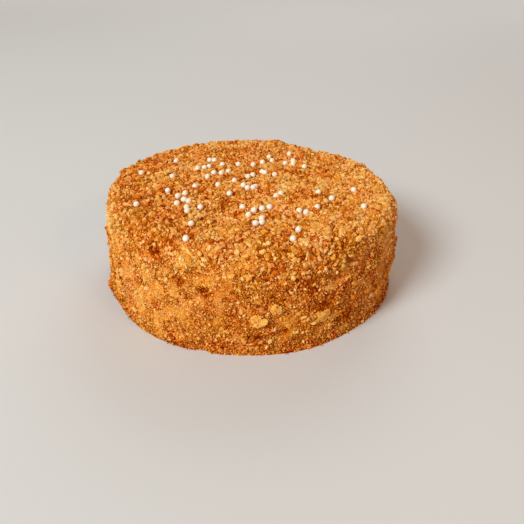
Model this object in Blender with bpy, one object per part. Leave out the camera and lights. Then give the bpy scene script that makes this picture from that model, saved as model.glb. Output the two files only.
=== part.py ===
"""Medovik honey cake: a whole round layer cake in a coat of biscuit crumbs, with sugar pearls on top.

The cake is one solid, as it lifts in one piece. Its skin is a turned profile, flat below, rounded at the
shoulder and lower at the back than at the front, and it is craggy with the crumbs pressed into it. The
sugar pearls, the large flakes and the larger crumbs are real shapes, joined to the skin.

The origin is the centre of the base, on the surface that the cake stands on. +Z is up, and the front of
the cake faces -Y. A place on the skin is an azimuth, in degrees from the front and positive towards +X,
and a reach, in millimetres along the profile from the centre of the top, over the shoulder and down.
"""

import math

import bmesh
import bpy
import numpy as np
from mathutils import Matrix
from mathutils.geometry import delaunay_2d_cdt

MM = 0.001

# Driving sizes of the cake, in millimetres.
WALL_RADIUS = 106.5
HEIGHT = 71.4
SHOULDER_PULL = 3.0
SHOULDER_ROUNDING = 12.0
TOP_FALL = 4.6
SKIRT_FLARE = 1.4
SKIRT_HEIGHT = 4.0

# Slow waves in the coat: how many times round the cake, how long down the profile, how far out. They grow
# from nothing at the centre of the top.
WAVES = ((3, 130.0, 0.5), (7, 70.0, 0.35))
WAVES_START = 45.0

# Uneven places in the coat: azimuth, height up the wall, how wide in degrees, how tall, how far out.
SWELLS = (
    (-38.0, 4.0, 20.0, 12.0, 1.7),
    (38.0, 4.0, 20.0, 12.0, -3.6),
    (-16.0, 2.0, 2.5, 6.0, -2.1),
    (0.0, 3.0, 14.0, 8.0, -1.4),
    (-60.0, 6.0, 10.0, 14.0, -1.8),
    (-72.0, 4.0, 4.0, 4.0, 2.0),
    (-75.0, 26.0, 12.0, 14.0, -0.8),
    (-80.0, 54.0, 14.0, 12.0, -0.6),
    (77.0, 24.0, 6.0, 4.5, 1.5),
    (78.0, 8.0, 10.0, 7.0, -2.6),
    (92.0, 66.0, 12.0, 8.0, -1.4),
    (147.0, 68.0, 14.0, 12.0, -2.7),
    (170.0, 70.0, 5.0, 9.0, 2.7),
    (-102.0, 68.0, 10.0, 10.0, 1.0),
    (-122.0, 68.0, 10.0, 10.0, -1.0),
)

# The skin's mesh, and the relief of the crumbs pressed into it.
SKIN_POINTS = 2100
FOOT_POINTS = 96
FOOT_MARGIN = 3.5
CRAG = 1.4
CALM_CRAG = 0.25
CALM_REACH = 12.0
GOLDEN_ANGLE = 180.0 * (3.0 - math.sqrt(5.0))

# Sugar pearls lie in short trails, as they fell from the hand: where a trail starts and ends on the top,
# and how many pearls are in it.
PEARL_RADIUS = 2.1
PEARL_SUNK = 1.1
PEARL_WANDER = 0.3
PEARL_SIDES = 6
PEARL_RINGS = 4
PEARL_TRAILS = (
    (-60.0, 39.5, -29.0, 15.0, 2),
    (-34.0, 42.5, -30.0, 43.0, 2),
    (7.5, 40.0, 15.5, 44.0, 2),
    (13.0, 51.5, 30.0, 58.5, 2),
    (25.5, 38.0, 32.0, 44.0, 2),
    (-42.0, 23.0, -15.5, -23.0, 4),
    (-37.0, 25.0, 0.5, 12.5, 3),
    (-33.5, 28.0, -3.0, -12.0, 4),
    (-23.5, 34.0, 0.5, 34.0, 3),
    (7.5, 19.5, 9.5, 18.0, 2),
    (17.0, 14.5, 46.5, -16.5, 2),
    (32.0, 37.5, 40.5, 32.0, 2),
    (-82.0, 10.5, -58.5, 5.0, 2),
    (-6.5, -7.5, -3.0, 9.0, 2),
    (0.5, -11.0, 2.0, -9.5, 2),
    (73.0, -9.5, 75.0, -39.5, 2),
    (-58.5, -20.5, -34.0, -45.0, 4),
    (-46.0, -24.0, -40.5, -12.0, 2),
    (-45.5, -34.5, -37.5, -69.0, 3),
    (20.0, -20.5, 16.5, -25.5, 2),
    (55.0, -27.5, 43.5, -42.5, 2),
    (-76.0, -44.0, -38.5, -87.5, 2),
    (-49.5, -40.5, -43.0, -46.0, 2),
    (-6.0, -44.0, 2.5, -68.0, 3),
    (6.5, -61.0, 6.5, -66.5, 2),
    (12.0, -43.0, 1.5, -48.5, 3),
    (31.0, -48.5, 35.5, -50.5, 2),
    (28.5, -75.5, 25.0, -87.0, 2),
)

# Large flakes of biscuit: azimuth, height up the wall, length.
FLAKES = (
    (26.0, 24.0, 11.0),
    (2.5, 27.0, 10.0),
    (8.5, 34.5, 7.0),
    (-36.0, 63.0, 9.0),
    (-21.0, 60.0, 12.0),
    (36.0, 65.0, 10.0),
)
FLAKE_FLATNESS = 0.42

# Larger crumbs, spread evenly over the skin, clear of the pearls, the flakes and the foot.
CRUMB_COUNT = 110
CRUMB_LENGTHS = (5.0, 8.5)
CRUMB_WIDTHS = (0.65, 0.9)
CRUMB_FLATNESS = 0.62
CRUMB_SUNK = 0.4
CRUMB_WANDER = 6.0
CRUMB_CLEARANCE = 5.5
CRUMB_FOOT_CLEARANCE = 5.0
CRUMB_LEAN = 0.35
CRUMB_RAGGEDNESS = (0.78, 1.18)

SKIN_SEED = 3
PEARL_SEED = 11
CRUMB_SEED = 23


def turned_profile():
    """The profile from near the centre of the top to the foot of the wall, as radii and heights."""
    shoulder_height = HEIGHT - SHOULDER_ROUNDING
    flat_radius = WALL_RADIUS - SHOULDER_PULL - SHOULDER_ROUNDING
    top_radius = np.linspace(1.0, flat_radius, 60)
    turn = np.linspace(0.0, math.pi / 2, 25)[1:]
    wall_height = np.linspace(shoulder_height, 0.0, 120)[1:]
    pull = SHOULDER_PULL * (wall_height / shoulder_height) ** 4
    flare = SKIRT_FLARE * np.exp(-wall_height / SKIRT_HEIGHT)
    shoulder_radii = flat_radius + SHOULDER_ROUNDING * np.sin(turn)
    shoulder_heights = shoulder_height + SHOULDER_ROUNDING * np.cos(turn)
    radius = np.concatenate([top_radius, shoulder_radii, WALL_RADIUS - pull + flare])
    height = np.concatenate([np.full(len(top_radius), HEIGHT), shoulder_heights, wall_height])
    return radius, height


PROFILE_RADIUS, PROFILE_HEIGHT = turned_profile()
PROFILE_STEP = np.hypot(np.diff(PROFILE_RADIUS), np.diff(PROFILE_HEIGHT))
PROFILE_REACH = np.concatenate([[1.0], 1.0 + np.cumsum(PROFILE_STEP)])


def over_profile(value_per_step):
    """The running total, along the profile, of a value given per millimetre."""
    middle = (value_per_step[1:] + value_per_step[:-1]) / 2
    return np.concatenate([[0.0], np.cumsum(middle * PROFILE_STEP)])


def reach_at_height(height):
    """How far down the profile the wall or shoulder is this high."""
    return np.interp(-np.asarray(height, float), -PROFILE_HEIGHT, PROFILE_REACH)


def swell(azimuth, reach):
    """How far the coat stands out at each place: the slow waves, and the uneven places as round bumps."""
    total = np.zeros(np.shape(azimuth))
    for times, length, out in WAVES:
        total += out * np.sin(np.radians(times * azimuth) + times) * np.cos(2 * math.pi * reach / length)
    total *= np.clip(reach / WAVES_START, 0.0, 1.0)
    for at, up, wide, tall, out in SWELLS:
        aside = (azimuth - at + 180.0) % 360.0 - 180.0
        total += out * np.exp(-((aside / wide) ** 2) - ((reach - reach_at_height(up)) / tall) ** 2)
    return total


def skin(azimuth, reach, lift=0.0):
    """Points on the skin and outward normals at arrays of places: the profile, turned, swelled and tilted."""
    turn = np.radians(azimuth)
    side, forward = np.sin(turn), -np.cos(turn)
    slope = np.gradient(PROFILE_RADIUS, PROFILE_REACH), np.gradient(PROFILE_HEIGHT, PROFILE_REACH)
    out_up = np.interp(reach, PROFILE_REACH, slope[0])
    out_side = -np.interp(reach, PROFILE_REACH, slope[1])
    out = swell(azimuth, reach) + lift
    radius = np.interp(reach, PROFILE_REACH, PROFILE_RADIUS) + out * out_side
    height = np.interp(reach, PROFILE_REACH, PROFILE_HEIGHT)
    height = height + out * out_up * np.clip(height / SKIRT_HEIGHT, 0.0, 1.0)
    height = height * (1.0 - TOP_FALL / HEIGHT * radius * forward / (2 * WALL_RADIUS))
    points = np.stack([radius * side, radius * forward, height], axis=-1)
    normals = np.stack([out_side * side, out_side * forward, out_up], axis=-1)
    return points, normals / np.linalg.norm(normals, axis=-1, keepdims=True)


def spiral_places(count):
    """Places spread evenly by area over the skin, each a golden angle on from the one before."""
    area = over_profile(PROFILE_RADIUS)
    most = np.interp(PROFILE_REACH[-1] - FOOT_MARGIN, PROFILE_REACH, area)
    order = np.arange(count)
    reach = np.interp((order + 0.5) / count * most, area, PROFILE_REACH)
    return order * GOLDEN_ANGLE % 360.0, reach


def gaps_to(points, others):
    """The distance from each point to each of the others."""
    return np.linalg.norm(points[:, None] - others[None], axis=2)


def skin_mesh(toppings):
    """The craggy skin with its flat base, closed: spiral points joined by triangles in a flattened map.

    The map keeps angles, as its radius grows by the reach over the profile's radius, so triangles that are
    even in it are even on the skin. The crags are calmer beside a topping, which has to stay joined.
    """
    random = np.random.default_rng(SKIN_SEED)
    azimuth, reach = spiral_places(SKIN_POINTS)
    azimuth = np.concatenate([azimuth, np.arange(FOOT_POINTS) * 360.0 / FOOT_POINTS])
    reach = np.concatenate([reach, np.full(FOOT_POINTS, PROFILE_REACH[-1])])
    smooth, _ = skin(azimuth, reach)
    calm = np.clip(gaps_to(smooth, toppings).min(axis=1) / CALM_REACH, CALM_CRAG, 1.0)
    points, _ = skin(azimuth, reach, calm * random.uniform(-CRAG, CRAG, len(azimuth)))
    spread = np.exp(np.interp(reach, PROFILE_REACH, over_profile(1.0 / PROFILE_RADIUS)))
    turn = np.radians(azimuth)
    flat = np.stack([spread * np.sin(turn), -spread * np.cos(turn)], axis=-1)
    found = delaunay_2d_cdt(flat.tolist(), [], [], 0, 1e-9)
    source = [origins[0] for origins in found[3]]
    faces = [[source[corner] for corner in face] for face in found[2]]
    faces.append(list(range(SKIN_POINTS, SKIN_POINTS + FOOT_POINTS))[::-1])
    mesh = bpy.data.meshes.new("cake")
    mesh.from_pydata((points * MM).tolist(), [], faces)
    return mesh


def pearl_places():
    """The centres of the sugar pearls: even steps along each trail, with a small wander, sunk in the coat."""
    random = np.random.default_rng(PEARL_SEED)
    across = []
    for start_x, start_y, end_x, end_y, count in PEARL_TRAILS:
        step = np.linspace(0.0, 1.0, count)[:, None]
        trail = np.array([start_x, start_y]) + step * np.array([end_x - start_x, end_y - start_y])
        across.append(trail + random.uniform(-PEARL_WANDER, PEARL_WANDER, trail.shape))
    x, y = np.concatenate(across).T
    points, normals = skin(np.degrees(np.arctan2(x, -y)), np.hypot(x, y))
    return points + normals * (PEARL_RADIUS - PEARL_SUNK)


def crumb_places(pearls):
    """The flakes and the larger crumbs, as rows of azimuth, reach, length and flatness.

    The crumbs are an even spiral with a wander, without those that would meet a pearl or a flake.
    """
    random = np.random.default_rng(CRUMB_SEED)
    azimuth, reach = spiral_places(CRUMB_COUNT)
    radius = np.interp(reach, PROFILE_REACH, PROFILE_RADIUS)
    azimuth = azimuth + np.degrees(random.uniform(-CRUMB_WANDER, CRUMB_WANDER, CRUMB_COUNT) / radius)
    reach = reach + random.uniform(-CRUMB_WANDER, CRUMB_WANDER, CRUMB_COUNT)
    reach = np.clip(reach, CRUMB_WANDER, PROFILE_REACH[-1] - CRUMB_FOOT_CLEARANCE)
    length = random.uniform(*CRUMB_LENGTHS, CRUMB_COUNT)
    points, _ = skin(azimuth, reach)
    flakes = np.array(FLAKES)
    flake_points, _ = skin(flakes[:, 0], reach_at_height(flakes[:, 1]))
    clear = (gaps_to(points, pearls) > CRUMB_CLEARANCE).all(axis=1)
    clear &= (gaps_to(points, flake_points) > CRUMB_CLEARANCE + flakes[:, 2] / 2).all(axis=1)
    crumbs = np.stack([azimuth, reach, length, np.full(CRUMB_COUNT, CRUMB_FLATNESS)], axis=-1)
    flake_reach = reach_at_height(flakes[:, 1])
    flake_flatness = np.full(len(flakes), FLAKE_FLATNESS)
    flakes = np.stack([flakes[:, 0], flake_reach, flakes[:, 2], flake_flatness], axis=-1)
    return np.concatenate([flakes, crumbs[clear]])


def crumb_stretches(random, normals, lengths, flatness):
    """The three directions that stretch a unit ball into each crumb, lying in the skin with a lean."""
    up = normals + random.uniform(-CRUMB_LEAN, CRUMB_LEAN, normals.shape)
    up /= np.linalg.norm(up, axis=1, keepdims=True)
    along = np.cross(up, random.uniform(-1.0, 1.0, normals.shape))
    along /= np.linalg.norm(along, axis=1, keepdims=True)
    across = np.cross(up, along) * random.uniform(*CRUMB_WIDTHS, (len(normals), 1))
    return np.stack([along, across, up * flatness[:, None]], axis=1) * lengths[:, None, None] / 2


def ball_mesh(name, make, **shape):
    """A unit ball from one of Blender's own spheres."""
    ball = bmesh.new()
    make(ball, **shape)
    bmesh.ops.recalc_face_normals(ball, faces=ball.faces)
    mesh = bpy.data.meshes.new(name)
    ball.to_mesh(mesh)
    ball.free()
    return mesh


def add_topping(collection, mesh, points, material):
    """Puts one pearl or crumb into the collection: a copy of the mesh with its corners at these points."""
    piece = mesh.copy()
    piece.vertices.foreach_set("co", (points * MM).ravel())
    piece.materials.append(material)
    collection.objects.link(bpy.data.objects.new(mesh.name, piece))


def add_pearls(collection, centres, material):
    """Each pearl is a small ball, turned by its own amount."""
    random = np.random.default_rng(PEARL_SEED)
    sphere = bmesh.ops.create_uvsphere
    mesh = ball_mesh("pearl", sphere, u_segments=PEARL_SIDES, v_segments=PEARL_RINGS, radius=1.0)
    corners = np.array([corner.co for corner in mesh.vertices])
    for centre in centres:
        spin = np.array(Matrix.Rotation(random.uniform(0.0, 2 * math.pi), 3, "Z"))
        add_topping(collection, mesh, centre + PEARL_RADIUS * corners @ spin, material)


def add_crumbs(collection, crumbs, material):
    """Each crumb or flake is a ragged, flattened ball of twenty faces, lying in the skin."""
    random = np.random.default_rng(CRUMB_SEED)
    mesh = ball_mesh("crumb", bmesh.ops.create_icosphere, subdivisions=1, radius=1.0)
    corners = np.array([corner.co for corner in mesh.vertices])
    points, normals = skin(crumbs[:, 0], crumbs[:, 1])
    stretches = crumb_stretches(random, normals, crumbs[:, 2], crumbs[:, 3])
    for point, stretch in zip(points - normals * CRUMB_SUNK, stretches):
        ragged = corners * random.uniform(*CRUMB_RAGGEDNESS, (len(corners), 1))
        add_topping(collection, mesh, point + ragged @ stretch, material)


def add_material(name, colour, roughness):
    """A Principled material for one of the cake's finishes."""
    material = bpy.data.materials.new(name)
    material.use_nodes = True
    shader = material.node_tree.nodes["Principled BSDF"]
    shader.inputs["Base Color"].default_value = (*colour, 1.0)
    shader.inputs["Roughness"].default_value = roughness
    shader.inputs["Metallic"].default_value = 0.0
    material.diffuse_color = (*colour, 1.0)
    return material


def join_toppings(cake, collection):
    """Unites the cake with everything in the collection, then removes the collection and its objects."""
    union = cake.modifiers.new("toppings", "BOOLEAN")
    union.operation = "UNION"
    union.operand_type = "COLLECTION"
    union.collection = collection
    union.material_mode = "TRANSFER"
    with bpy.context.temp_override(object=cake, active_object=cake):
        bpy.ops.object.modifier_apply(modifier=union.name)
    for piece in list(collection.objects):
        bpy.data.objects.remove(piece)
    bpy.data.collections.remove(collection)


def main():
    """Builds the cake."""
    for old in list(bpy.data.objects):
        bpy.data.objects.remove(old)
    coat = add_material("crumb coat", (0.62, 0.25, 0.045), 0.85)
    sugar = add_material("sugar pearl", (0.86, 0.80, 0.70), 0.35)
    pearls = pearl_places()
    crumbs = crumb_places(pearls)
    crumb_points, _ = skin(crumbs[:, 0], crumbs[:, 1])
    cake = bpy.data.objects.new("cake", skin_mesh(np.concatenate([pearls, crumb_points])))
    cake.data.materials.append(coat)
    bpy.context.scene.collection.objects.link(cake)
    toppings = bpy.data.collections.new("toppings")
    bpy.context.scene.collection.children.link(toppings)
    add_pearls(toppings, pearls, sugar)
    add_crumbs(toppings, crumbs, coat)
    join_toppings(cake, toppings)
    cake.data.shade_smooth()
    cake.data.set_sharp_from_angle(angle=math.radians(38.0))


main()
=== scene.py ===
"""Looks of a medovik honey cake: a round cake in a coat of crushed honey biscuit, with sugar pearls on top.

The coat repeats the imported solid's formulas for its skin, and adds the relief of the crumbs pressed into the
cream. Fine crumbs, middling crumbs, pieces of biscuit and sugar pearls lie on it as real shapes. A place on
the skin is an azimuth, in degrees from the front and positive towards +X, and a reach, in millimetres along
the profile from the centre of the top, over the shoulder and down the wall. All sizes are in millimetres
until a mesh is written.
"""

from __future__ import annotations

import logging
import math
from dataclasses import dataclass
from enum import Enum
from functools import cached_property
from typing import Any

import bpy
import numpy as np
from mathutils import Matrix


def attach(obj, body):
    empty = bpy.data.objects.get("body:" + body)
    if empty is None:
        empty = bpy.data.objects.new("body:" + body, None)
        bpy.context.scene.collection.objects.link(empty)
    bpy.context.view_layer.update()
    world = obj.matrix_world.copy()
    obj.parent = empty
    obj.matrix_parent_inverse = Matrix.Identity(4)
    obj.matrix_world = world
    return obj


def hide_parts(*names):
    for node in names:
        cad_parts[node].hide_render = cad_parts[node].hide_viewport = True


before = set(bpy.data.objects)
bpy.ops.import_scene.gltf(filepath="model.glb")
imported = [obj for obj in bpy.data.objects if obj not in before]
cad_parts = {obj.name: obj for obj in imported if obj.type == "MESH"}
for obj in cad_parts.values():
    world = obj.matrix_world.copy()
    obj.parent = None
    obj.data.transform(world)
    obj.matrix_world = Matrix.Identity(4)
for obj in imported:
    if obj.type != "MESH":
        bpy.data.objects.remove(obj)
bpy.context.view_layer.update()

LOG = logging.getLogger("honey cake")
MM = 0.001
BODY = "root"
CAD_NODE = "cake"
PALETTE_MAP = "OFBake"
# The coat's level holds its real bake plus the painted shade of the gaps between the crumbs.
LEVEL_ATTRIBUTE = "bake_and_gap_shade"
GOLDEN_ANGLE = 180.0 * (3.0 - math.sqrt(5.0))
FAR_BELOW = -9.0
LUMP_LOW, LUMP_SPREAD = 0.55, 0.45
PALETTE_CELL = (0.2, 0.8)
# Nearly all the values of a noise texture lie between these.
NOISE_RANGE = {"From Min": 0.3, "From Max": 0.7}
# The factors and shifts of an integer hash.
HASH_AXES = (374761393, 668265263, 2147483629)
HASH_SEED = 974634777
HASH_ROUNDS = ((13, 1274126177), (16, 2246822519))
HASH_END = 15
WORD = 2 ** 32

Array = np.ndarray
Random = np.random.Generator
Socket = bpy.types.NodeSocket
Tree = bpy.types.NodeTree
Pair = tuple[float, float]
Triple = tuple[float, float, float]
Rows = tuple[tuple[float, ...], ...]
Layers = tuple[tuple[float, float, int], ...]
Stops = tuple[tuple[float, str], ...]


def linear(colour: str) -> tuple[float, float, float, float]:
    """Turns an sRGB hex colour such as "d98a3c" to linear light with full alpha.

    Args:
        colour: Six hex digits.

    Returns:
        Red, green, blue and alpha, each from 0 to 1.
    """
    parts = [int(colour[i:i + 2], 16) / 255 for i in (0, 2, 4)]
    light = [p / 12.92 if p <= 0.04045 else ((p + 0.055) / 1.055) ** 2.4 for p in parts]
    return (*light, 1.0)


def feed(tree: Tree, inputs: Any, values: dict[Any, Any]) -> None:
    """Gives some of a node's inputs their values or their links.

    Args:
        tree: The node tree that holds the node.
        inputs: The node's inputs.
        values: For each input, by name or number, a value or the output that feeds it.
    """
    for name, value in values.items():
        if isinstance(value, Socket):
            tree.links.new(value, inputs[name])
        else:
            inputs[name].default_value = value


def add_node(tree: Tree, kind: str, values: dict[Any, Any] | None = None, stops: Stops = (),
             **settings: Any) -> bpy.types.Node:
    """Adds one node with its settings, its values and its links.

    Args:
        tree: The node tree that takes the node.
        kind: The node's type, without "ShaderNode" before it.
        values: What its inputs are given, as in feed.
        stops: For a colour ramp, each stop's position and sRGB hex colour.
        settings: The node's own properties.

    Returns:
        The new node.
    """
    node = tree.nodes.new("ShaderNode" + kind)
    for name, value in settings.items():
        setattr(node, name, value)
    feed(tree, node.inputs, values or {})
    if stops:
        elements = node.color_ramp.elements
        while len(elements) < len(stops):
            elements.new(1.0)
        for element, (position, colour) in zip(elements, stops):
            element.position = position
            element.color = linear(colour)
    return node


def per_metre(size: float) -> float:
    """The scale of a noise texture whose lumps are this many millimetres across."""
    return 1.0 / (size * MM)


def hashed(cells: Array, seed: int) -> Array:
    """Mixes the three indices of each cell and the seed by multiplying, shifting and exclusive or.

    Args:
        cells: Whole numbers, n rows of three.
        seed: Picks one pattern.

    Returns:
        A number from 0 to 1 for each cell.
    """
    mixed = ((cells * np.array(HASH_AXES)).sum(axis=1) + seed * HASH_SEED) & (WORD - 1)
    for shift, factor in HASH_ROUNDS:
        mixed = ((mixed ^ (mixed >> shift)) * factor) & (WORD - 1)
    return (mixed ^ (mixed >> HASH_END)) / float(WORD)


def lattice_noise(points: Array, cell: float, seed: int) -> Array:
    """Gives smooth noise from -1 to 1 at each point.

    Each corner of a cubic lattice takes a number hashed from its place. A point takes the mix of its eight
    corners, weighted along each axis by 3t² - 2t³, where t is how far across the cell the point lies.

    Args:
        points: Places in millimetres, n rows of three.
        cell: The lattice's spacing in millimetres.
        seed: Picks one pattern.

    Returns:
        One value for each point.
    """
    scaled = points / cell
    low = np.floor(scaled).astype(np.int64)
    part = scaled - low
    eased = part * part * (3.0 - 2.0 * part)
    total = np.zeros(len(points))
    for corner in np.ndindex(2, 2, 2):
        at = low + np.array(corner)
        weight = np.where(np.array(corner) == 1, eased, 1.0 - eased).prod(axis=1)
        total += weight * (2.0 * hashed(at, seed) - 1.0)
    return total


def layered_noise(points: Array, layers: Layers) -> Array:
    """Adds up smooth noise, each layer with its spacing in millimetres, its strength and its seed."""
    return sum(strength * lattice_noise(points, cell, seed) for cell, strength, seed in layers)


def pebbles(points: Array, cell: float, seed: int) -> Array:
    """The relief of packed rounded lumps, from 0 in the gaps to 1 on the highest lumps.

    Each cell of a cubic lattice holds one lump, at a hashed place and with a hashed height. A lump is the
    dome h (1 - (d/cell)²), where d is the distance to its middle. A point takes the highest dome over it.

    Args:
        points: Places in millimetres, n rows of three.
        cell: The spacing of the lumps in millimetres.
        seed: Picks one pattern.

    Returns:
        One height for each point.
    """
    scaled = points / cell
    low = np.floor(scaled).astype(np.int64)
    highest = np.zeros(len(points))
    for offset in np.ndindex(3, 3, 3):
        at = low + np.array(offset) - 1
        middle = at + np.stack([hashed(at, seed + axis) for axis in range(3)], axis=1)
        gap = ((scaled - middle) ** 2).sum(axis=1)
        dome = (LUMP_LOW + LUMP_SPREAD * hashed(at, seed + 3)) * (1.0 - gap)
        np.maximum(highest, dome, out=highest)
    return highest


def ball_grid(sides: int, rings: int) -> tuple[Array, Array]:
    """A unit ball: (sin a cos b, sin a sin b, cos a), where a runs from pole to pole and b once round.

    Every other ring of corners is turned by half a step, so that the triangles are nearly even.

    Args:
        sides: Corners in each ring.
        rings: Steps from pole to pole, so there are rings - 1 rings of corners.

    Returns:
        The corners, and triangles whose faces point outwards.
    """
    down = np.arange(1, rings) * math.pi / rings
    turn = np.arange(sides)[None] + 0.5 * (np.arange(rings - 1)[:, None] % 2)
    turn = turn * 2 * math.pi / sides
    ring = np.stack(np.broadcast_arrays(np.sin(down)[:, None] * np.cos(turn),
                                        np.sin(down)[:, None] * np.sin(turn),
                                        np.cos(down)[:, None]), axis=-1).reshape(-1, 3)
    corners = np.concatenate([[[0.0, 0.0, 1.0]], ring, [[0.0, 0.0, -1.0]]])
    here = np.arange(sides)
    after = (here + 1) % sides
    last = 1 + (rings - 2) * sides
    faces = [np.stack([np.zeros_like(here), 1 + here, 1 + after], axis=1),
             np.stack([np.full_like(here, len(corners) - 1), last + after, last + here], axis=1)]
    for row in range(rings - 2):
        upper, lower = 1 + row * sides, 1 + (row + 1) * sides
        corner = lower + (here if row % 2 == 0 else after)
        faces.append(np.stack([upper + here, corner, upper + after], axis=1))
        corner = upper + (after if row % 2 == 0 else here)
        faces.append(np.stack([lower + here, lower + after, corner], axis=1))
    return corners, np.concatenate(faces)


def unit(vectors: Array) -> Array:
    """The same directions with a length of one, where each row is a vector."""
    return vectors / np.linalg.norm(vectors, axis=-1, keepdims=True)


def distances(points: Array, others: Array) -> Array:
    """How far each point lies from each of the others, one row for each point."""
    return np.linalg.norm(points[:, None] - others[None], axis=2)


def turns_at_random(random: Random, count: int) -> Array:
    """Rotation matrices spread evenly over all turns, each from four normal numbers taken as a quaternion.

    Args:
        random: The source of the numbers.
        count: How many matrices.

    Returns:
        An array of count 3 by 3 matrices.
    """
    w, x, y, z = unit(random.normal(size=(4, count)).T).T
    return np.stack([
        np.stack([1 - 2 * (y * y + z * z), 2 * (x * y - w * z), 2 * (x * z + w * y)], axis=1),
        np.stack([2 * (x * y + w * z), 1 - 2 * (x * x + z * z), 2 * (y * z - w * x)], axis=1),
        np.stack([2 * (x * z - w * y), 2 * (y * z + w * x), 1 - 2 * (x * x + y * y)], axis=1),
    ], axis=1)


def leant_frames(random: Random, normals: Array, lean: float) -> Array:
    """How flat things lie on the skin: up is the normal with a lean, and along is any way across it.

    Args:
        random: The source of the leans and of the ways along.
        normals: The skin's normals, one for each thing.
        lean: The most that each part of a unit normal changes.

    Returns:
        One 3 by 3 matrix for each, whose rows are along, across and up.
    """
    up = unit(normals + random.uniform(-lean, lean, normals.shape))
    along = unit(np.cross(up, random.uniform(-1.0, 1.0, normals.shape)))
    return np.stack([along, np.cross(up, along), up], axis=1)


def repeated_faces(faces: Array, corners: int, count: int) -> Array:
    """The faces of many copies of one shape that has this many corners."""
    return (faces[None] + corners * np.arange(count)[:, None, None]).reshape(-1, faces.shape[1])


def add_object(name: str, data: bpy.types.ID) -> bpy.types.Object:
    """Adds an object to the scene.

    Args:
        name: The object's name.
        data: The mesh, light or camera that it holds.

    Returns:
        The new object.
    """
    item = bpy.data.objects.new(name, data)
    bpy.context.scene.collection.objects.link(item)
    return item


def make_piece(name: str, points: Array, faces: list[Array], material: bpy.types.Material,
               uv: Array | None = None, smooth: bool = False) -> bpy.types.Object:
    """Puts computed arrays into a mesh piece that rides with the cake.

    Args:
        name: The piece's name.
        points: Corners in millimetres.
        faces: Arrays of faces, each with its own number of corners a face.
        material: The finish.
        uv: The palette map, one row for each face corner in order.
        smooth: Whether the faces shade as one rounded surface.

    Returns:
        The piece's object, at the origin with its place in its mesh.
    """
    mesh = bpy.data.meshes.new(name)
    corners = np.concatenate([part.ravel() for part in faces]).astype(np.int32)
    counts = np.concatenate([np.full(len(part), part.shape[1]) for part in faces])
    mesh.vertices.add(len(points))
    mesh.vertices.foreach_set("co", (points * MM).astype(np.float32).ravel())
    mesh.loops.add(len(corners))
    mesh.loops.foreach_set("vertex_index", corners)
    mesh.polygons.add(len(counts))
    mesh.polygons.foreach_set("loop_start", (np.cumsum(counts) - counts).astype(np.int32))
    mesh.polygons.foreach_set("use_smooth", np.full(len(counts), smooth))
    if uv is not None:
        layer = mesh.uv_layers.new(name=PALETTE_MAP)
        layer.uv.foreach_set("vector", uv.astype(np.float32).ravel())
    mesh.update(calc_edges=True)
    mesh.validate()
    mesh.materials.append(material)
    piece = add_object(name, mesh)
    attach(piece, BODY)
    return piece


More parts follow.
